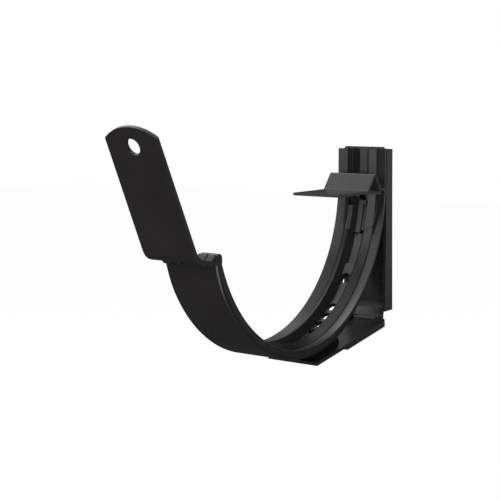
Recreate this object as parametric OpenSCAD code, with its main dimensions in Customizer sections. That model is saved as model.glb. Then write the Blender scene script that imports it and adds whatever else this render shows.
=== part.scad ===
// Gutter bracket: a pressed steel band that carries a half-round gutter on a wall.
// Millimetres. X runs across the bracket, +Y points to the wall, Z is up.
// The origin is on the wall plane, level with the centre of the gutter.

/* [Gutter band] */

// Inner radius of the band, measured at its side edges
bandRadius = 64.2; // [55:0.1:90]
// Distance from the wall to the band's side edges
wallGap = 8.3; // [6.5:0.1:14]
// Width of the band
bandWidth = 25; // [22:0.5:40]
// Thickness of the band and plate steel
sheet = 1.5; // [1:0.1:2.5]
// Height of the straight part above the gutter centre
rearHeight = 16.1; // [12:0.1:40]
// Angle of the front end below the gutter centre
frontAngle = 18; // [8:1:35]
// Width of the flat outer face of the band
baseWidth = 21; // [18:0.5:36]
// Depth of the band's outer face behind the side edges
baseDepth = 3.6; // [3:0.1:6]
// Rise of the base strip over the folded edges at the top
baseRise = 1; // [0.4:0.1:5]
// Rise of the two ridges over the side edges
ridgeRise = 1.5; // [0.8:0.1:3]
// Distance of each ridge crest from the middle
crestAcross = 4.1; // [3.4:0.1:6]
// Distance of the valley outside each ridge from the middle
valleyAcross = 7.6; // [6.5:0.1:11]
// Depth of that valley below the side edges
valleyDepth = 1; // [0.2:0.1:1.6]
// Width of the flat groove floor
grooveFloor = 3.8; // [3:0.1:5.5]
// Radius of the pressed corners
pressRadius = 0.5; // [0.2:0.1:1.2]

/* [Setting holes] */

// Diameter of the holes in the setting row
settingHole = 4.3; // [3:0.1:6]
// Number of holes in the setting row
settingCount = 4; // [2:1:6]
// Angle of the lowest hole of the row from straight down
settingStart = 20.4; // [15:0.1:30]
// Angle between two holes of the row
settingStep = 5.2; // [4:0.1:9]
// Diameter of the driver hole above the row
driverHole = 4.8; // [3:0.1:6]
// Height of the small stop pad on the groove floor
stopPad = 0.9; // [0.4:0.1:2]

/* [Front cradle and tongue] */

// Radius of the rounded ridge ends
earRadius = 1.95; // [1:0.05:3]
// Clear run of the cradle floor in front of the ridge ends
cradleRun = 12.4; // [8:0.1:25]
// Rise of the cradle floor towards the tongue, in degrees
cradleTilt = 9.1; // [0:0.1:20]
// Outer radius of the bend under the tongue
tongueBend = 6.5; // [3:0.1:12]
// Lean of the tongue away from upright
tongueLean = 25.1; // [0:0.1:45]
// Length of the tongue from the bend corner to its top
tongueLength = 55.1; // [30:0.1:90]
// Radius of the rounded tongue top
tongueTop = 20; // [14:0.5:40]
// Diameter of the hole in the tongue
tongueHole = 6.4; // [3:0.1:12]
// Distance of that hole below the tongue top
tongueHoleDrop = 7.8; // [6:0.1:20]

/* [Rear clip] */

// Thickness of the clip steel
clipSheet = 1.2; // [0.8:0.1:2]
// Width of the clip
clipWidth = 23; // [18:0.5:36]
// Length of the level lip over the gutter
lipLength = 25.5; // [10:0.5:40]
// Drop of the lip fold below the gutter centre
lipDrop = 2; // [0:0.1:8]
// Distance of the lip fold in front of the ridge tops
foldAhead = 12.7; // [9:0.1:30]
// Distance of the clip crest in front of the ridge tops
crestAhead = 5.9; // [4:0.1:20]
// Height of the clip crest above the gutter centre
crestHeight = 6.4; // [2:0.1:12]
// Depth of the leg below the gutter centre
legDepth = 20.6; // [15:0.1:35]
// Width of the leg at its lower end
legWidth = 14; // [10:0.5:20]
// Width of the arched opening in the leg
archWidth = 10; // [6:0.1:12]
// Depth of the arch top below the gutter centre
archTop = 3.6; // [2:0.1:8]
// Height of the arched opening
archHeight = 6; // [5:0.1:12]

/* [Wall plate] */

// Gap between the plate's foot and the strut
footGap = 2.7; // [1.5:0.1:6]
// Depth of the right side wall, measured from the wall
flangeDepth = 7; // [4:0.1:7.2]
// Depth of the left side wall, which leaves the driver hole free
leftDepth = 4.2; // [3:0.1:7.2]
// Height of the ramp at the plate's foot
rampHeight = 13; // [8:0.5:20]
// Outer radius of the rear bends of the plate
rearBend = 2.3; // [1.6:0.1:4]
// Diameter of the wall screw holes
screwHole = 5; // [3:0.1:6.5]
// Depth of the upper wall screw below the gutter centre
upperScrew = 4.6; // [4:0.1:12]
// Distance between the two wall screws
screwSpacing = 28; // [25:0.5:60]

/* [Strut] */

// Slope of the strut
strutSlope = 8.6; // [0:0.1:20]
// Length of the flat toe in front of the saddle
toeLength = 5.4; // [3:0.1:15]
// Depth of the turned-down strut edges
lipDepth = 2.8; // [1.6:0.1:5]
// Length of the turned-down edges past the start of the saddle
lipOver = 1.5; // [0.5:0.5:10]
// Width of the pressed middle of the strut
panWidth = 15; // [10:0.5:18]
// Rise of the saddle over the strut edges
saddleRise = 4.2; // [2:0.1:6]
// Length of the saddle
saddleLength = 19; // [12:0.5:26]

/* [Hidden] */
roundSteps = 3;
arcFacets = 140;
holeFacets = 40;
seatGap = 0.05;
fold = 0.05;
cutReach = 40;
halfWidth = bandWidth / 2;
baseHalf = baseWidth / 2;
gutterReach = bandRadius + wallGap;
rearEdge = -wallGap;
grooveDepth = baseDepth - sheet;
floorOuter = bandRadius + baseDepth;
sweep = 90 + 90 - frontAngle;
frontTurn = 90 - frontAngle;
driverAngle = 50.3;
padStart = 51.6;
padSweep = 5.2;
padWidth = grooveFloor + 1;
screwClear = screwHole + 1.2;

// Unit vector from a to b
function unit2(a, b) = (b - a) / norm(b - a);

// Points of one rounded corner of a line
function corner(a, b, c, r) =
    let (u = unit2(b, a), v = unit2(b, c), cosine = max(-1, min(1, u * v)))
    let (half = acos(cosine) / 2, turn = 180 - 2 * half)
    let (reach = min(r / tan(half), norm(a - b) * 0.48, norm(c - b) * 0.48))
    let (rr = reach * tan(half), mid = unit2([0, 0], u + v))
    let (centre = b + mid * rr / sin(half), from = b + u * reach - centre)
    let (side = u[0] * v[1] - u[1] * v[0] > 0 ? -1 : 1)
    [for (i = [0 : roundSteps])
        let (t = side * turn * i / roundSteps)
        centre + [from[0] * cos(t) - from[1] * sin(t), from[0] * sin(t) + from[1] * cos(t)]];

// 1 where the line turns left at b, -1 where it turns right
function turnSide(a, b, c) =
    (b[0] - a[0]) * (c[1] - b[1]) - (b[1] - a[1]) * (c[0] - b[0]) > 0 ? 1 : -1;

// A line with its corners rounded: r inside a bend, r + extra outside a bend to that side
function rounded(pts, r, extra, side) = [
    pts[0],
    for (i = [1 : len(pts) - 2])
        let (outside = turnSide(pts[i - 1], pts[i], pts[i + 1]) * side > 0)
        each corner(pts[i - 1], pts[i], pts[i + 1], outside ? r + extra : r),
    pts[len(pts) - 1]
];

// Left-hand normal of the step from a to b
function leftOf(a, b) = let (u = unit2(a, b)) [-u[1], u[0]];

// A line moved to its left by d
function moved(pts, d) = [
    for (i = [0 : len(pts) - 1])
        let (n0 = leftOf(pts[max(i - 1, 0)], pts[max(i, 1)]))
        let (last = len(pts) - 1)
        let (n1 = leftOf(pts[min(i, last - 1)], pts[min(i + 1, last)]))
        pts[i] + (n0 + n1) * d / (1 + n0 * n1)
];

// The closed outline of a bent sheet of thickness d to the left of a line
function sheetOutline(pts, d, r) =
    let (way = d > 0 ? 1 : -1)
    let (front = rounded(pts, r, abs(d), way))
    let (back = rounded(moved(pts, d), r, abs(d), -way))
    concat(front, [for (i = [len(back) - 1 : -1 : 0]) back[i]]);

// Half of the band's inner face, from the groove outwards: across, inward
ridgeHalf = [
    [grooveFloor / 2, -grooveDepth],
    [crestAcross, ridgeRise],
    [valleyAcross, -valleyDepth],
    [halfWidth, 0]
];

// Half of the band's outline; the strip's edges are folded in flat, crimped to the ridges
foldHalf = rounded(concat(ridgeHalf, [
    [halfWidth, -0.9],
    [baseHalf, -baseDepth],
    [0, -baseDepth]
]), pressRadius, 0, 1);

// A half line completed with its mirror image
function mirrored(half) = concat(
    [for (i = [len(half) - 1 : -1 : 0]) [-half[i][0], half[i][1]]], half);

bandOutline = [for (i = [0 : 2 * len(foldHalf) - 2])
    i < len(foldHalf) ? foldHalf[i]
        : let (p = foldHalf[2 * len(foldHalf) - 2 - i]) [-p[0], p[1]]];

// Sweeps a section round the gutter, from an angle from straight down
module round_gutter(points, start, turn) {
    translate([0, -gutterReach, 0])
        rotate([0, 90, 0])
            rotate([0, 0, start])
                rotate_extrude(angle = turn, $fn = arcFacets)
                    polygon([for (p = points) [bandRadius - p[1], p[0]]]);
}

// Runs a section straight up from the gutter centre's level
module up_the_wall(points, height) {
    linear_extrude(height)
        polygon([for (p = points) [p[0], rearEdge - p[1]]]);
}

// Extrudes a Y, Z outline across the bracket
module across(width) {
    translate([-width / 2, 0, 0])
        rotate([90, 0, 90])
            linear_extrude(width)
                children();
}

// Places children on the groove floor at an angle, Z pointing outward
module on_floor(angle) {
    translate([0, -gutterReach, 0])
        rotate([angle, 0, 0])
            translate([0, 0, -bandRadius - grooveDepth])
                children();
}

shelfAngle = 180 - cradleTilt;
leanAngle = 90 + tongueLean;
earCentre = [-gutterReach - (bandRadius - ridgeRise + earRadius) * cos(frontAngle) - 0.1,
             -(bandRadius - ridgeRise + earRadius) * sin(frontAngle) - 0.1];
shelfStart = [earCentre[0] + earRadius * 0.4, earCentre[1] - earRadius - 0.75];
bendPoint = shelfStart + (cradleRun + earRadius) * [cos(shelfAngle), sin(shelfAngle)];
tongueUp = [cos(leanAngle), sin(leanAngle)];
cradleLine = [shelfStart, bendPoint, bendPoint + tongueLength * tongueUp];

// Places children on the outer face of the tongue: across, along its height, inwards
module on_tongue() {
    translate([0, bendPoint[0], bendPoint[1]])
        rotate([90 + tongueLean, 0, 0])
            translate([0, 0, -sheet])
                children();
}

// The cradle floor and the tongue, bent from the same strip as the band
module cradle_and_tongue() {
    difference() {
        across(bandWidth - 2 * fold)
            polygon(sheetOutline(cradleLine, -sheet, tongueBend - sheet));
        on_tongue()
            translate([0, 0, -sheet])
                linear_extrude(3 * sheet)
                    difference() {
                        translate([-halfWidth - 1, tongueLength - tongueTop])
                            square([bandWidth + 2, tongueTop + 1]);
                        translate([0, tongueLength - tongueTop])
                            circle(r = tongueTop, $fn = holeFacets * 4);
                    }
        on_tongue()
            translate([0, tongueLength - tongueHoleDrop, -sheet])
                cylinder(d = tongueHole, h = 3 * sheet, $fn = holeFacets);
    }
}

module ears() {
    earInner = crestAcross + 0.1;
    earOuter = halfWidth - 0.6;
    for (side = [-1, 1])
        translate([side * (earInner + earOuter) / 2, 0, 0]) {
            across(earOuter - earInner) {
                translate(earCentre)
                    circle(r = earRadius, $fn = holeFacets);
                polygon([
                    earCentre + [-earRadius, 0],
                    earCentre + [earRadius, 0],
                    earCentre + [earRadius, -earRadius],
                    shelfStart + [0, 0.2],
                    shelfStart + [-earRadius * 1.4, 0.5]
                ]);
            }
        }
}

// Metal inside the base where the straight part runs into the arc
module straight_root() {
    inset = 0.3;
    for (side = [-1, 1])
        translate([side * (baseHalf / 2 + 1), rearEdge + baseDepth - sheet / 2, 0])
            cube([baseHalf / 2, sheet - 2 * inset, 2], center = true);
}

// The base strip's end stands a little above the folded edges
module base_end() {
    translate([0, rearEdge + baseDepth, rearHeight - 2])
        rotate([90, 0, 0])
            linear_extrude(sheet)
                polygon([
                    [-baseHalf + 0.6, 0],
                    [-baseHalf + 0.1, 2],
                    [-baseHalf + 0.7, 2 + baseRise],
                    [baseHalf - 0.7, 2 + baseRise],
                    [baseHalf - 0.1, 2],
                    [baseHalf - 0.6, 0]
                ]);
}

module gutter_band() {
    color([0.05, 0.05, 0.055])
        difference() {
            union() {
                round_gutter(bandOutline, -frontTurn, sweep);
                up_the_wall(bandOutline, rearHeight);
                straight_root();
                base_end();
                cradle_and_tongue();
                ears();
                round_gutter([
                    [-padWidth / 2, -grooveDepth - 0.1],
                    [-padWidth / 2, stopPad - grooveDepth],
                    [padWidth / 2, stopPad - grooveDepth],
                    [padWidth / 2, -grooveDepth - 0.1]
                ], padStart, padSweep);
            }
            for (i = [0 : settingCount - 1])
                on_floor(settingStart + i * settingStep)
                    translate([0, 0, -sheet * 2])
                        cylinder(d = settingHole, h = sheet * 3 + 0.4, $fn = holeFacets);
            on_floor(driverAngle)
                translate([0, 0, -sheet * 2])
                    cylinder(d = driverHole, h = sheet * 3 + 0.4, $fn = holeFacets);
            translate([0, rearEdge - cutReach / 4, -upperScrew])
                rotate([-90, 0, 0])
                    cylinder(d = screwClear, h = cutReach, $fn = holeFacets);
        }
}

crestFace = rearEdge - ridgeRise - seatGap;
ridgeFace = rearEdge - ridgeRise;
crestLine = [
    [ridgeFace - foldAhead - lipLength, -lipDrop],
    [ridgeFace - foldAhead, -lipDrop],
    [ridgeFace - crestAhead, crestHeight],
    [crestFace, -archTop + 1.2],
    [crestFace, -archTop - 0.6]
];
clipInner = moved(mirrored(ridgeHalf), seatGap);

// Front outline of the leg: across, height
module leg_outline() {
    shoulder = archTop - 0.5;
    cut = 2;
    polygon([
        [-clipWidth / 2, -shoulder],
        [-legWidth / 2 - cut / 2, -legDepth + cut],
        [-legWidth / 2 + cut, -legDepth],
        [-grooveFloor / 2 - 0.6, -legDepth],
        [-grooveFloor / 2 - 0.6, -legDepth - 1.6],
        [grooveFloor / 2 + 0.6, -legDepth - 1.6],
        [grooveFloor / 2 + 0.6, -legDepth],
        [legWidth / 2 - cut, -legDepth],
        [legWidth / 2 + cut / 2, -legDepth + cut],
        [clipWidth / 2, -shoulder]
    ]);
}

module rear_clip() {
    legTurn = asin((legDepth + 4) / bandRadius);
    color([0.05, 0.05, 0.055])
        difference() {
            union() {
                across(clipWidth)
                    polygon(sheetOutline(crestLine, -clipSheet, 0.4));
                intersection() {
                    round_gutter(sheetOutline(clipInner, clipSheet, pressRadius), 90 - legTurn, legTurn);
                    rotate([90, 0, 0])
                        linear_extrude(gutterReach)
                            leg_outline();
                }
            }
            translate([0, rearEdge + 2, -archTop - archWidth / 2])
                rotate([90, 0, 0]) {
                    linear_extrude(cutReach / 4) {
                        intersection() {
                            circle(d = archWidth, $fn = holeFacets);
                            translate([-archWidth, 0])
                                square(2 * archWidth);
                        }
                        translate([-archWidth / 2, archWidth / 2 - archHeight])
                            square([archWidth, archHeight - archWidth / 2 + fold]);
                    }
                }
        }
}

slopeRise = tan(strutSlope);
tangentDrop = floorOuter / cos(strutSlope) - gutterReach * slopeRise;
seatBite = 0.55;
strutDrop = tangentDrop + (saddleRise - seatBite) / cos(strutSlope);
tangentRun = (gutterReach - floorOuter * sin(strutSlope)) / cos(strutSlope);
saddleEnd = tangentRun - 4.1;
saddleStart = saddleEnd - saddleLength;
stepRun = 2.4;
strutLength = saddleEnd + stepRun + toeLength;
lipRun = saddleStart + lipOver;
plateDepth = strutDrop - footGap;

// Middle sheet of the plate: the web, the ramp at its foot, the neck
neckFront = -sheet - 0.4;
panFloor = 1.3;
neckDrop = strutDrop + panFloor + 0.3;
plateLine = [
    [-sheet, rearHeight],
    [-sheet, -plateDepth + rampHeight],
    [-flangeDepth - 0.2, -plateDepth + 1.9],
    [neckFront, -plateDepth - 1.6],
    [neckFront, -neckDrop],
    [neckFront - 6, -neckDrop - 6 * slopeRise]
];

// Places children in the strut's sloping frame
module on_strut() {
    translate([0, 0, -strutDrop])
        rotate([strutSlope, 0, 0])
            children();
}

// Flat outline of the strut, drawn in by an inset: across, towards the wall
module strut_outline(inset = 0) {
    rearRound = 5;
    strutRear = -3.6 - inset;
    edge = halfWidth - inset;
    difference() {
        translate([-edge, -strutLength])
            square([2 * edge, strutLength + strutRear]);
        for (side = [-1, 1])
            translate([side * edge, strutRear])
                difference() {
                    square([2 * rearRound, 2 * rearRound], center = true);
                    translate([-side * rearRound, -rearRound])
                        circle(r = rearRound, $fn = holeFacets);
                }
    }
}

panHalf = panWidth / 2;
panRear = 3.2;
panLine = [
    [-panRear, -panFloor],
    [-saddleStart, -panFloor],
    [-saddleStart - stepRun, saddleRise],
    [-saddleEnd, saddleRise],
    [-saddleEnd - stepRun, -sheet / 2 + fold]
];

module strut() {
    on_strut() {
        difference() {
            translate([0, 0, -sheet])
                linear_extrude(sheet)
                    strut_outline();
            translate([-panHalf, -saddleEnd - stepRun / 2, -lipDepth - 1])
                cube([panWidth, saddleEnd + 2, lipDepth + 2]);
        }
        // Turned-down edges
        intersection() {
            translate([0, 0, -lipDepth])
                linear_extrude(lipDepth - fold)
                    difference() {
                        strut_outline(fold);
                        translate([-halfWidth + sheet, -2 * strutLength])
                            square([bandWidth - 2 * sheet, 3 * strutLength]);
                    }
            across(bandWidth + 2)
                polygon([
                    [0, 0],
                    [0, -lipDepth - 1],
                    [-lipRun, -lipDepth - 1],
                    [-lipRun, -lipDepth],
                    [-lipRun - 5, -sheet / 2],
                    [-lipRun - 5, 0]
                ]);
        }
        across(panWidth - sheet)
            polygon(sheetOutline(panLine, sheet, 0.8));
        for (side = [-1, 1])
            translate([side * (panHalf - sheet / 2 + fold / 2), 0, 0])
                across(sheet + fold)
                    polygon([
                        [-panRear - fold, -fold],
                        [-panRear - fold, fold - panFloor - sheet],
                        [-saddleStart - stepRun, fold - panFloor - sheet],
                        [-saddleStart - stepRun, fold - sheet],
                        [-saddleEnd - stepRun, fold - sheet],
                        [-saddleEnd - stepRun, -fold],
                        [-saddleEnd, saddleRise - fold],
                        [-saddleStart - stepRun, saddleRise - fold],
                        [-saddleStart, -fold]
                    ]);
    }
}

// Plan outline of the whole plate, with its rounded rear bends
module plate_envelope() {
    translate([-halfWidth, -flangeDepth - 2])
        square([bandWidth, flangeDepth + 2 - rearBend]);
    translate([rearBend - halfWidth, -rearBend - 1])
        square([bandWidth - 2 * rearBend, rearBend + 1]);
    for (side = [-1, 1])
        translate([side * (halfWidth - rearBend), -rearBend])
            circle(r = rearBend, $fn = holeFacets);
}

reliefGap = 0.15;
reliefHalf = [
    [halfWidth + reliefGap, 2],
    [halfWidth + reliefGap, -0.9],
    [baseHalf + reliefGap, -baseDepth - reliefGap]
];
reliefLine = concat(reliefHalf, [for (i = [2 : -1 : 0]) [-reliefHalf[i][0], reliefHalf[i][1]]]);

module wall_plate() {
    webReach = bandWidth - 2 * sheet + 0.4;
    color([0.05, 0.05, 0.055])
        difference() {
            union() {
                intersection() {
                    union() {
                        across(webReach)
                            polygon(sheetOutline(plateLine, sheet, 0.8));
                        translate([halfWidth - sheet, -flangeDepth, -plateDepth])
                            cube([sheet, flangeDepth, plateDepth + rearHeight]);
                        translate([-halfWidth, -leftDepth, -plateDepth])
                            cube([sheet, leftDepth, plateDepth + rearHeight]);
                    }
                    translate([0, 0, -plateDepth])
                        linear_extrude(plateDepth + rearHeight)
                            plate_envelope();
                }
                difference() {
                    across(panWidth + 2)
                        polygon(sheetOutline([for (i = [2 : 5]) plateLine[i]], sheet, 0.8));
                    translate([-halfWidth, -cutReach / 2, -plateDepth + 0.6])
                        cube([bandWidth, cutReach, cutReach]);
                }
                // The saddle is coined to the back of the band
                difference() {
                    strut();
                    translate([-halfWidth - 1, -gutterReach, 0])
                        rotate([0, 90, 0])
                            cylinder(r = floorOuter + seatGap, h = bandWidth + 2, $fn = arcFacets);
                }
            }
            // The side walls are relieved where the band sits between them
            up_the_wall(reliefLine, rearHeight + 1);
            round_gutter(reliefLine, 45, 45);
            for (drop = [upperScrew, upperScrew + screwSpacing])
                translate([0, -cutReach / 4, -drop])
                    rotate([-90, 0, 0])
                        cylinder(d = screwHole, h = cutReach / 2, $fn = holeFacets);
        }
}

gutter_band();
rear_clip();
wall_plate();
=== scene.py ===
import math

import bmesh
import bpy
from mathutils import Matrix, Vector


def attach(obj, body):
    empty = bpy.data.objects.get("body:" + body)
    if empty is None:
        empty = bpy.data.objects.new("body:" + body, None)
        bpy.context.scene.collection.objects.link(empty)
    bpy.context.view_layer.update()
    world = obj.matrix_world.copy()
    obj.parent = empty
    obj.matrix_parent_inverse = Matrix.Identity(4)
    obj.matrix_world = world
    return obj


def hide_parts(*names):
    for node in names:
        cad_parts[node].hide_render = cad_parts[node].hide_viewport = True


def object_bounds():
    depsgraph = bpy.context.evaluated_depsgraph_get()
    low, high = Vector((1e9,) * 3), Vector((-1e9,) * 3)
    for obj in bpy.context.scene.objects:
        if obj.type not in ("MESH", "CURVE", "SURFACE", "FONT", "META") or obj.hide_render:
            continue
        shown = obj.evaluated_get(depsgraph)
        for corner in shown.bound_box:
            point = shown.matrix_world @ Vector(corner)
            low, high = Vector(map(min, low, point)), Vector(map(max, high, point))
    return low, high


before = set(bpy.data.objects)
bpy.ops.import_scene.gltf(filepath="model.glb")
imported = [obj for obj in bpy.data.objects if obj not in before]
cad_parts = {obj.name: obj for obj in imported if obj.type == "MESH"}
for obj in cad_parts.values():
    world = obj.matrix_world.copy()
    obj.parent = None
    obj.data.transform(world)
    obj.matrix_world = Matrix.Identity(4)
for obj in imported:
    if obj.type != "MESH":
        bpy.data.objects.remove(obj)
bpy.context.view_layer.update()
scene = bpy.context.scene
print("frame loaded:", ", ".join(sorted(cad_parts)))


# Adds a node to a tree and sets what is given for it
def addNode(tree, kind, place, **settings):
    node = tree.nodes.new(kind)
    node.location = place
    for name, value in settings.items():
        setattr(node, name, value)
    return node


# Adds a Math node that takes a number or another node's output on each side
def maths(tree, operation, first, second, place):
    node = addNode(tree, "ShaderNodeMath", place, operation=operation)
    for socket, value in zip(node.inputs, (first, second)):
        if isinstance(value, (int, float)):
            socket.default_value = value
        elif value is not None:
            tree.links.new(value, socket)
    return node.outputs[0]


# Powder coat: fine orange peel and slow mottling, shared by the three pieces
coatSockets = {
    "inputs": {
        "Base": ("NodeSocketColor", (0.02, 0.02, 0.022, 1)),
        "Lighter": ("NodeSocketColor", (0.03, 0.029, 0.031, 1)),
        "Peel Scale": ("NodeSocketFloat", 900.0),
        "Mottle Scale": ("NodeSocketFloat", 45.0),
        "Roughness Low": ("NodeSocketFloat", 0.34),
        "Roughness High": ("NodeSocketFloat", 0.46),
        "Peel Strength": ("NodeSocketFloat", 0.08),
    },
    "outputs": {
        "Color": "NodeSocketColor",
        "Roughness": "NodeSocketFloat",
        "Normal": "NodeSocketVector",
    },
}
coatGrain = {
    "peelDetail": 2.0,
    "peelRoughness": 0.45,
    "peelHeight": 0.00006,
    "mottleDetail": 4.0,
    "mottleRoughness": 0.55,
    "mottleSpread": (0.35, 0.65),    # noise values that give the base and the lighter colour
}


def makeCoatGroup():
    group = bpy.data.node_groups.new("powderCoat", "ShaderNodeTree")
    for name, (kind, value) in coatSockets["inputs"].items():
        socket = group.interface.new_socket(name, in_out="INPUT", socket_type=kind)
        socket.default_value = value
    for name, kind in coatSockets["outputs"].items():
        group.interface.new_socket(name, in_out="OUTPUT", socket_type=kind)
    given = addNode(group, "NodeGroupInput", (-900, 0))
    made = addNode(group, "NodeGroupOutput", (500, 0))
    coords = addNode(group, "ShaderNodeTexCoord", (-900, -300))
    join = group.links.new

    # Orange peel of the sprayed and baked powder
    peel = addNode(group, "ShaderNodeTexNoise", (-600, -300))
    peel.inputs["Detail"].default_value = coatGrain["peelDetail"]
    peel.inputs["Roughness"].default_value = coatGrain["peelRoughness"]
    join(coords.outputs["Object"], peel.inputs["Vector"])
    join(given.outputs["Peel Scale"], peel.inputs["Scale"])
    bump = addNode(group, "ShaderNodeBump", (100, -300))
    bump.inputs["Distance"].default_value = coatGrain["peelHeight"]
    join(peel.outputs["Fac"], bump.inputs["Height"])
    join(given.outputs["Peel Strength"], bump.inputs["Strength"])
    join(bump.outputs["Normal"], made.inputs["Normal"])

    # Slow mottling of colour and gloss
    mottle = addNode(group, "ShaderNodeTexNoise", (-600, 100))
    mottle.inputs["Detail"].default_value = coatGrain["mottleDetail"]
    mottle.inputs["Roughness"].default_value = coatGrain["mottleRoughness"]
    join(coords.outputs["Object"], mottle.inputs["Vector"])
    join(given.outputs["Mottle Scale"], mottle.inputs["Scale"])
    spread = addNode(group, "ShaderNodeMapRange", (-350, 100))
    spread.inputs["From Min"].default_value = coatGrain["mottleSpread"][0]
    spread.inputs["From Max"].default_value = coatGrain["mottleSpread"][1]
    join(mottle.outputs["Fac"], spread.inputs["Value"])
    tone = addNode(group, "ShaderNodeMix", (-100, 200), data_type="RGBA")
    join(spread.outputs["Result"], tone.inputs["Factor"])
    join(given.outputs["Base"], tone.inputs["A"])
    join(given.outputs["Lighter"], tone.inputs["B"])
    join(tone.outputs["Result"], made.inputs["Color"])
    gloss = addNode(group, "ShaderNodeMapRange", (-100, -50))
    join(spread.outputs["Result"], gloss.inputs["Value"])
    join(given.outputs["Roughness Low"], gloss.inputs["To Min"])
    join(given.outputs["Roughness High"], gloss.inputs["To Max"])
    join(gloss.outputs["Result"], made.inputs["Roughness"])
    return group


coatGroup = makeCoatGroup()


# Painted shade: thin dark lines in the valleys where the folded ribs meet, on the side that faces the
# gutter, standing in for the shade that gathers in those creases
creaseShadeSockets = {"Line": 0.0076, "Half Width": 0.0002, "Axis": -0.0725, "Inner Reach": 0.0665}
creaseShadeFade = 2.2    # half widths from its middle at which a line has faded out


def makeCreaseShadeGroup():
    group = bpy.data.node_groups.new("creaseShadeLine", "ShaderNodeTree")
    for name, value in creaseShadeSockets.items():
        socket = group.interface.new_socket(name, in_out="INPUT", socket_type="NodeSocketFloat")
        socket.default_value = value
    group.interface.new_socket("Mask", in_out="OUTPUT", socket_type="NodeSocketFloat")
    given = addNode(group, "NodeGroupInput", (-1100, 0))
    made = addNode(group, "NodeGroupOutput", (700, 0))
    coords = addNode(group, "ShaderNodeTexCoord", (-1100, 300))
    split = addNode(group, "ShaderNodeSeparateXYZ", (-900, 300))
    join = group.links.new
    join(coords.outputs["Object"], split.inputs[0])

    # One line on each side of the middle, fading over its edges
    side = maths(group, "ABSOLUTE", split.outputs["X"], None, (-700, 400))
    past = maths(group, "SUBTRACT", side, given.outputs["Line"], (-500, 400))
    off = maths(group, "ABSOLUTE", past, None, (-300, 400))
    line = addNode(group, "ShaderNodeMapRange", (0, 400))
    line.inputs["To Min"].default_value = 1.0
    line.inputs["To Max"].default_value = 0.0
    join(off, line.inputs["Value"])
    join(given.outputs["Half Width"], line.inputs["From Min"])
    faded = maths(group, "MULTIPLY", given.outputs["Half Width"], creaseShadeFade, (-200, 200))
    join(faded, line.inputs["From Max"])

    # Kept to what is nearer to the arc's axis than the inner reach, which is the side facing the gutter
    ahead = maths(group, "SUBTRACT", split.outputs["Y"], given.outputs["Axis"], (-700, 0))
    down = maths(group, "MINIMUM", split.outputs["Z"], 0.0, (-700, -200))
    aheadSquared = maths(group, "MULTIPLY", ahead, ahead, (-500, 0))
    downSquared = maths(group, "MULTIPLY", down, down, (-500, -200))
    both = maths(group, "ADD", aheadSquared, downSquared, (-300, -100))
    reach = maths(group, "SQRT", both, None, (-100, -100))
    inner = maths(group, "LESS_THAN", reach, given.outputs["Inner Reach"], (100, -100))
    mask = maths(group, "MULTIPLY", line.outputs["Result"], inner, (400, 100))
    join(mask, made.inputs["Mask"])
    return group


creaseShadeGroup = makeCreaseShadeGroup()


# Paints shade into a coat along its crease lines: a darker colour and less shine there, standing in for the
# shade in the valleys
def addCreaseShade(tree, shader, colour, shadedCreases):
    mask = None
    for count, line in enumerate(shadedCreases["lines"]):
        group = addNode(tree, "ShaderNodeGroup", (-900, 500 - 200 * count), node_tree=creaseShadeGroup)
        group.inputs["Line"].default_value = line
        group.inputs["Half Width"].default_value = shadedCreases["halfWidth"]
        if mask is None:
            mask = group.outputs["Mask"]
        else:
            mask = maths(tree, "MAXIMUM", mask, group.outputs["Mask"], (-700, 400))
    tone = addNode(tree, "ShaderNodeMix", (-200, 300), data_type="RGBA")
    tone.inputs["B"].default_value = shadedCreases["colour"]
    tree.links.new(mask, tone.inputs["Factor"])
    tree.links.new(colour, tone.inputs["A"])
    tree.links.new(tone.outputs["Result"], shader.inputs["Base Color"])
    dull = addNode(tree, "ShaderNodeMapRange", (-200, 600))
    dull.inputs["To Min"].default_value = shadedCreases["specular"][0]
    dull.inputs["To Max"].default_value = shadedCreases["specular"][1]
    tree.links.new(mask, dull.inputs["Value"])
    tree.links.new(dull.outputs["Result"], shader.inputs["Specular IOR Level"])


# One black finish, with its own values where a piece differs
def makeCoat(name, values):
    coat = bpy.data.materials.new(name)
    coat.use_nodes = True
    tree = coat.node_tree
    shader = tree.nodes["Principled BSDF"]
    group = addNode(tree, "ShaderNodeGroup", (-300, 0), node_tree=coatGroup)
    for socket, value in values["coat"].items():
        group.inputs[socket].default_value = value
    tree.links.new(group.outputs["Color"], shader.inputs["Base Color"])
    tree.links.new(group.outputs["Roughness"], shader.inputs["Roughness"])
    tree.links.new(group.outputs["Normal"], shader.inputs["Normal"])
    shader.inputs["Specular IOR Level"].default_value = values["specular"]
    shader.inputs["Coat Weight"].default_value = values["clear"]
    shader.inputs["Coat Roughness"].default_value = values["clearRoughness"]
    # Painted crease shade, for a piece that has it
    if "shadedCreases" in values:
        addCreaseShade(tree, shader, group.outputs["Color"], values["shadedCreases"])
    return coat


bandCoat = {
    "coat": {
        "Base": (0.0135, 0.0118, 0.0125, 1),
        "Lighter": (0.0160, 0.0142, 0.0150, 1),
        "Roughness Low": 0.26,
        "Roughness High": 0.33,
    },
    "specular": 0.5,
    "clear": 0.0,
    "clearRoughness": 0.3,
}
clipCoat = dict(bandCoat, coat=dict(bandCoat["coat"], **{"Peel Scale": 1100.0}))
plateCoat = dict(bandCoat, coat=dict(bandCoat["coat"], **{"Mottle Scale": 60.0}))
# Painted shade in the band's rib valleys: lines across, half width, the dark colour, and the shine away
# from and on a line
ribCreaseShade = {
    "lines": (0.0076, 0.0042),
    "halfWidth": 0.00018,
    "colour": (0.006, 0.005, 0.0055, 1),
    "specular": (0.5, 0.14),
}

coats = {
    "gutter_band": makeCoat("bandBlack", dict(bandCoat, shadedCreases=ribCreaseShade)),
    "rear_clip": makeCoat("clipBlack", clipCoat),
    "wall_plate": makeCoat("plateBlack", plateCoat),
}
print("powder coats made")

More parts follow.
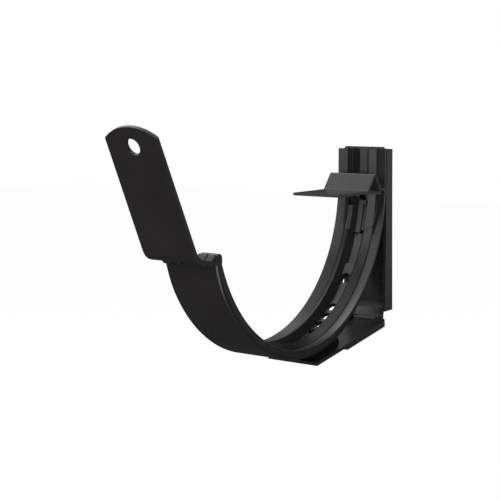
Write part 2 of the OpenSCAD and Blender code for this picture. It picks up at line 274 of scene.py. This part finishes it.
# Each piece is a copy of its solid, trimmed where it has a trim below, with its sheared edges rolled
pressed = {
    "flatAngle": 0.4,      # degrees: faces this close to flat become one
    "edgeAngle": 32.0,     # degrees: edges sharper than this are rolled over
    "roll": 0.00028,
    "rollSteps": 3,
    "weld": 2e-6,
    "faceWeight": 60,
}


# Wall plate: a flat web that ends in a small forward curl, and a left wall short of the driver hole
plateForm = {
    "ramp": ((-0.0456, -0.0015), (-0.0567, -0.0072), (-0.0602, -0.0019)),    # height and front of each bend
    "rampDepth": 0.0057,     # how far the ramp's back moves towards the wall
    "rampReach": 0.0006,     # how far ahead of the ramp's front a point still belongs to it
    "faceReach": 0.0008,     # a point less than this behind the front goes onto the web's front
    "topReach": 0.0004,      # how far above the ramp's top a point still belongs to it
    "footReach": 0.0002,     # how far below its foot
    "front": -0.0015,
    "curlTop": -0.0584,
    "curl": 0.0008,
    "side": 0.0109,          # across, where the side walls begin
    "leftEdge": -0.0042,
    "leftReach": 0.0001,
    "leftTrimmed": -0.0020,
    "neckFoot": -0.0640,
    "neckAhead": -0.0060,
    "strutTop": -0.0606,
    "strutFace": -0.0613,
    "strutSlope": 0.1512,
    "strutDrop": 0.0004,
    "rimRoll": 0.0013,
    "rimSteps": 6,
    "rimReach": 0.0003,
    "rimAhead": -0.0034,
    "rimSide": 0.0122,
    "rimTurn": 0.0002,       # an edge that moves across by more than this is no rim
}


# Front of the ramp at a height
def rampFront(z):
    (topZ, topY), (deepZ, deepY), (footZ, footY) = plateForm["ramp"]
    if z >= deepZ:
        return topY + (deepY - topY) * (topZ - z) / (topZ - deepZ)
    return deepY + (footY - deepY) * (deepZ - z) / (deepZ - footZ)


# Moves a point of the ramp back onto the flat web, and forward again where the web curls
def flattenRamp(place, rampTop, rampFoot):
    values = plateForm
    leftWall = place.x < -values["side"] and abs(place.y - values["leftEdge"]) < values["leftReach"]
    if leftWall or not rampFoot - values["footReach"] < place.z < rampTop + values["topReach"]:
        return
    behind = place.y - rampFront(min(place.z, rampTop))
    if behind <= -values["rampReach"]:
        return
    if behind < values["faceReach"]:
        place.y = values["front"]
    else:
        place.y = min(0.0, place.y + values["rampDepth"])
    if place.z < values["curlTop"]:
        curled = (values["curlTop"] - place.z) / (values["curlTop"] - rampFoot)
        place.y -= values["curl"] * min(1.0, curled)


# Shortens the left wall and moves the neck along with the web's curl
def trimWallAndNeck(place, rampFoot):
    values = plateForm
    if place.x < -values["side"] and place.z > rampFoot:
        place.y = max(place.y, values["leftTrimmed"])
    neckTop = rampFoot - values["footReach"]
    if values["neckFoot"] < place.z <= neckTop and abs(place.x) < values["side"]:
        if place.y > values["neckAhead"]:
            place.y -= values["curl"]


# Points on the strut's sloping face along its two sides
def onStrutRim(place):
    values = plateForm
    strutFace = values["strutFace"] + place.y * values["strutSlope"]
    onFace = abs(place.z - strutFace) < values["rimReach"] and place.y < values["rimAhead"]
    return onFace and abs(place.x) > values["rimSide"]


def isRim(edge, rimPoints):
    first, second = edge.verts
    across = abs(first.co.x - second.co.x)
    return first in rimPoints and second in rimPoints and across < plateForm["rimTurn"]


def trimPlate(form):
    values = plateForm
    rampTop, rampFoot = values["ramp"][0][0], values["ramp"][2][0]
    for level in (values["curlTop"], rampFoot):
        bmesh.ops.bisect_plane(
            form,
            geom=form.verts[:] + form.edges[:] + form.faces[:],
            plane_co=(0, 0, level),
            plane_no=(0, 0, 1),
        )
    rimPoints = set()
    for vert in form.verts:
        place = vert.co
        flattenRamp(place, rampTop, rampFoot)
        trimWallAndNeck(place, rampFoot)
        if place.z < values["strutTop"]:
            if onStrutRim(place):
                rimPoints.add(vert)
            place.z -= values["strutDrop"]
    rims = [edge for edge in form.edges if isRim(edge, rimPoints)]
    print("strut rims rolled:", len(rims))
    # The clamp holds the roll to about 0.3 mm: some rims are short and would turn into spikes without it
    bmesh.ops.bevel(
        form,
        geom=rims,
        offset=values["rimRoll"],
        segments=values["rimSteps"],
        profile=0.5,
        affect="EDGES",
        clamp_overlap=True,
    )


# Band: its base stands a little prouder round the arc with softly rolled folds, and the tongue is slimmer
bandForm = {
    "axis": -0.0725,
    "sideTop": 0.0651,
    "base": 0.0678,
    "baseReach": 0.0003,
    "prouder": 0.0006,
    "arcEnd": -0.1372,
    "frontFade": (-71, -60),    # degrees from straight down, rising towards the wall
    "rearFade": (60, 78),
    "foldFade": (15, 45),
    "foldEnd": 75,
    "foldReach": 0.00008,
    "fold": (                   # across, how much wider, how much nearer to the axis
        (0.0102, 0.0012, 0.0),
        (0.0104, 0.0015, 0.00015),
        (0.0105, 0.0018, 0.0005),
        (0.0106, 0.0019, 0.0011),
    ),
    "tongueAhead": -0.1375,
    "tongueFoot": (-0.0190, -0.0120),
    "slimmer": 0.055,
    "further": 0.0009,
}


# 0 up to low, 1 from high on, smooth between
def fadeIn(value, low, high):
    part = min(1.0, max(0.0, (value - low) / (high - low)))
    return part * part * (3 - 2 * part)


def fadeOut(value, low, high):
    return fadeIn(-value, -high, -low)


def trimTongue(place):
    part = fadeIn(place.z, *bandForm["tongueFoot"])
    place.x *= 1 - bandForm["slimmer"] * part
    place.y -= bandForm["further"] * part


def trimArc(place):
    values = bandForm
    axis, sideTop, base = values["axis"], values["sideTop"], values["base"]
    across, down = place.y - axis, min(place.z, 0.0)
    radius = math.hypot(across, down)
    if radius < sideTop or place.y < values["arcEnd"]:
        return
    angle = math.degrees(math.atan2(across, -down))
    grown = values["prouder"] * fadeIn(angle, *values["frontFade"]) * fadeOut(angle, *values["rearFade"])
    newRadius = radius + grown * (radius - sideTop) / (base - sideTop)
    if radius > base - values["baseReach"] and angle < values["foldEnd"]:
        part = fadeOut(angle, *values["foldFade"])
        for old, wider, lift in values["fold"]:
            if abs(abs(place.x) - old) < values["foldReach"]:
                place.x += math.copysign(wider * part, place.x)
                newRadius -= lift * part
                break
    place.y = axis + across * newRadius / radius
    if place.z < 0:
        place.z *= newRadius / radius


def trimBand(form):
    for vert in form.verts:
        if vert.co.y < bandForm["tongueAhead"]:
            trimTongue(vert.co)
        else:
            trimArc(vert.co)


trims = {"gutter_band": trimBand, "wall_plate": trimPlate}


def pressedPiece(node, coat):
    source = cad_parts[node]
    mesh = source.data.copy()
    mesh.name = node + "_skin"
    form = bmesh.new()
    form.from_mesh(mesh)
    bmesh.ops.remove_doubles(form, verts=form.verts, dist=pressed["weld"])
    bmesh.ops.dissolve_degenerate(form, edges=form.edges, dist=pressed["weld"])
    if node in trims:
        trims[node](form)
    bmesh.ops.dissolve_limit(
        form,
        angle_limit=math.radians(pressed["flatAngle"]),
        verts=form.verts,
        edges=form.edges,
    )
    form.to_mesh(mesh)
    form.free()
    mesh.materials.clear()
    mesh.materials.append(coat)
    mesh.polygons.foreach_set("use_smooth", [True] * len(mesh.polygons))
    piece = bpy.data.objects.new(node + "_coated", mesh)
    scene.collection.objects.link(piece)
    rolled = piece.modifiers.new("rolledEdges", "BEVEL")
    rolled.width = pressed["roll"]
    rolled.segments = pressed["rollSteps"]
    rolled.limit_method = "ANGLE"
    rolled.angle_limit = math.radians(pressed["edgeAngle"])
    rolled.use_clamp_overlap = True
    rolled.harden_normals = False
    rolled.miter_outer = "MITER_ARC"
    even = piece.modifiers.new("evenShading", "WEIGHTED_NORMAL")
    even.keep_sharp = True
    even.weight = pressed["faceWeight"]
    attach(piece, "root")
    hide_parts(node)
    print(node, "skinned:", len(mesh.polygons), "faces")


slots = {"gutter_band": "band_black", "rear_clip": "clip_black", "wall_plate": "plate_black"}
for node, slot in slots.items():
    pressedPiece(node, coats[node])

# The folded rib ends are closed by two rounded lobes a side that slope down into the cradle
ribEnds = {
    "lobes": ((0.0057, 0.0027), (0.0100, 0.0020)),    # across: middle and half width of each
    "middle": (-0.1366, -0.0207),
    "length": 0.0054,
    "thick": 0.0026,
    "slope": 43,
    "roll": 0.0010,
    "rollSteps": 5,
}


def makeRibEnds():
    values = ribEnds
    mesh = bpy.data.meshes.new("ribEndsMesh")
    form = bmesh.new()
    for side in (-1, 1):
        for middle, half in values["lobes"]:
            lobe = bmesh.new()
            bmesh.ops.create_cube(lobe, size=1.0)
            size = (2 * half, values["length"], values["thick"])
            bmesh.ops.scale(lobe, vec=size, verts=lobe.verts)
            bmesh.ops.bevel(
                lobe,
                geom=lobe.edges[:],
                offset=values["roll"],
                segments=values["rollSteps"],
                profile=0.5,
                affect="EDGES",
                clamp_overlap=True,
            )
            turn = Matrix.Rotation(math.radians(values["slope"]), 3, "X")
            bmesh.ops.rotate(lobe, verts=lobe.verts, cent=(0, 0, 0), matrix=turn)
            bmesh.ops.translate(lobe, vec=(side * middle, *values["middle"]), verts=lobe.verts)
            part = bpy.data.meshes.new("lobe")
            lobe.to_mesh(part)
            lobe.free()
            form.from_mesh(part)
            bpy.data.meshes.remove(part)
    form.to_mesh(mesh)
    form.free()
    mesh.polygons.foreach_set("use_smooth", [True] * len(mesh.polygons))
    mesh.materials.append(coats["gutter_band"])
    piece = bpy.data.objects.new("ribEnds", mesh)
    scene.collection.objects.link(piece)
    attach(piece, "root")
    print("rib ends closed:", len(mesh.polygons), "faces")


makeRibEnds()

# Floor: pale, far enough below that the bracket's shadow stays soft
floorLook = {
    "drop": 0.22,
    "size": 3.0,
    "colour": (0.45, 0.45, 0.45, 1),
    "seenShare": 0.95,
    "seenLevel": 1.03,
    "mirroredShare": 0.9,
    "mirroredLevel": 0.008,
}


# What the camera sees directly and what a shiny surface mirrors, each at its own level
def rayLevels(tree, rays, seen, mirrored, height):
    toEye = maths(tree, "MULTIPLY", rays.outputs["Is Camera Ray"], seen, (-400, height))
    toMirror = maths(tree, "MULTIPLY", rays.outputs["Is Glossy Ray"], mirrored, (-400, height - 150))
    return maths(tree, "ADD", toEye, toMirror, (-200, height - 100))


def makeFloorPaint():
    values = floorLook
    paint = bpy.data.materials.new("floorPaint")
    paint.use_nodes = True
    tree = paint.node_tree
    tree.nodes.clear()
    out = addNode(tree, "ShaderNodeOutputMaterial", (600, 0))
    matt = addNode(tree, "ShaderNodeBsdfDiffuse", (0, 100))
    matt.inputs["Color"].default_value = values["colour"]
    glow = addNode(tree, "ShaderNodeEmission", (0, -100))
    glow.inputs["Color"].default_value = (1, 1, 1, 1)
    rays = addNode(tree, "ShaderNodeLightPath", (-600, 300))
    share = rayLevels(tree, rays, values["seenShare"], values["mirroredShare"], 400)
    level = rayLevels(tree, rays, values["seenLevel"], values["mirroredLevel"], 50)
    tree.links.new(level, glow.inputs["Strength"])
    mix = addNode(tree, "ShaderNodeMixShader", (300, 0))
    tree.links.new(share, mix.inputs["Fac"])
    tree.links.new(matt.outputs[0], mix.inputs[1])
    tree.links.new(glow.outputs[0], mix.inputs[2])
    tree.links.new(mix.outputs[0], out.inputs["Surface"])
    return paint


def makeFloor():
    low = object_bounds()[0]
    mesh = bpy.data.meshes.new("floorMesh")
    form = bmesh.new()
    bmesh.ops.create_grid(form, x_segments=1, y_segments=1, size=floorLook["size"])
    bmesh.ops.translate(form, verts=form.verts, vec=(0, 0, low.z - floorLook["drop"]))
    form.to_mesh(mesh)
    form.free()
    floor = bpy.data.objects.new("floor", mesh)
    mesh.materials.append(makeFloorPaint())
    scene.collection.objects.link(floor)
    print("floor laid")


makeFloor()

# Room light: dim and even for the object, white where the camera looks
roomLook = {
    "strength": 0.05,
    "tint": (1.0, 1.0, 1.0, 1),
    "seenStrength": 1.0,
    "seenTint": (1, 1, 1, 1),
}


def makeRoom():
    values = roomLook
    room = bpy.data.worlds.new("softRoom")
    room.use_nodes = True
    scene.world = room
    tree = room.node_tree
    tree.nodes.clear()
    out = addNode(tree, "ShaderNodeOutputWorld", (400, 0))
    dim = addNode(tree, "ShaderNodeBackground", (0, 100))
    dim.inputs["Color"].default_value = values["tint"]
    dim.inputs["Strength"].default_value = values["strength"]
    bright = addNode(tree, "ShaderNodeBackground", (0, -100))
    bright.inputs["Color"].default_value = values["seenTint"]
    bright.inputs["Strength"].default_value = values["seenStrength"]
    rays = addNode(tree, "ShaderNodeLightPath", (-200, 300))
    mix = addNode(tree, "ShaderNodeMixShader", (200, 0))
    tree.links.new(rays.outputs["Is Camera Ray"], mix.inputs["Fac"])
    tree.links.new(dim.outputs[0], mix.inputs[1])
    tree.links.new(bright.outputs[0], mix.inputs[2])
    tree.links.new(mix.outputs[0], out.inputs["Surface"])
    print("room lit")


makeRoom()

# Soft boxes: place, aim, size across and up, watts
softBoxes = {
    "front": ((0.14, -1.21, 0.39), (0, -0.08, -0.02), 2.6, 1.4, 16.8),
    "above": ((0, 0.06, 1.15), (0, 0.06, -0.02), 1.6, 1.82, 9.0),
    "left": ((-0.94, -0.15, 0.72), (0, -0.08, -0.02), 1.9, 1.0, 7.0),
    "backLeft": ((-0.52, 0.67, 0.85), (0, -0.05, -0.04), 1.4, 1.0, 2.2),
    "back": ((0.10, 1.25, 0.05), (0, -0.02, -0.02), 1.2, 0.9, 1.0),
    "backRight": ((0.70, 0.98, -0.05), (0, -0.02, -0.02), 0.9, 0.9, 0.5),
    "lowCard": ((0.28, -0.48, -0.262), (0.28, -0.48, 0.0), 0.45, 0.5, 2.1),
    "rightStrip": ((0.98, -0.69, 0.02), (0, -0.08, -0.02), 0.25, 0.55, 1.0),
}


def makeSoftBox(name, place, aim, across, up, watts):
    lamp = bpy.data.lights.new(name, "AREA")
    lamp.shape = "RECTANGLE"
    lamp.size, lamp.size_y = across, up
    lamp.energy = watts
    box = bpy.data.objects.new(name, lamp)
    box.location = place
    box.visible_camera = False
    box.rotation_euler = (Vector(aim) - Vector(place)).to_track_quat("-Z", "Y").to_euler()
    scene.collection.objects.link(box)


for name, values in softBoxes.items():
    makeSoftBox(name, *values)
print("lights set")

# Camera: from the front right, a little above the clip and looking slightly down
view = {
    "place": (0.2733, -0.4852, 0.0395),
    "azimuth": 35.17,
    "tilt": 5.87,
    "lens": 85.66,
    "sensor": 36,
    "shift": -0.06,
    "nearest": 0.01,
}


def makeCamera():
    eye = bpy.data.cameras.new("eye")
    eye.lens = view["lens"]
    eye.sensor_width = view["sensor"]
    eye.shift_y = view["shift"]
    eye.clip_start = view["nearest"]
    camera = bpy.data.objects.new("camera", eye)
    camera.location = view["place"]
    camera.rotation_euler = (math.radians(90 - view["tilt"]), 0, math.radians(view["azimuth"]))
    scene.collection.objects.link(camera)
    scene.camera = camera
    print("camera placed")


makeCamera()
scene.view_settings.view_transform = "Standard"
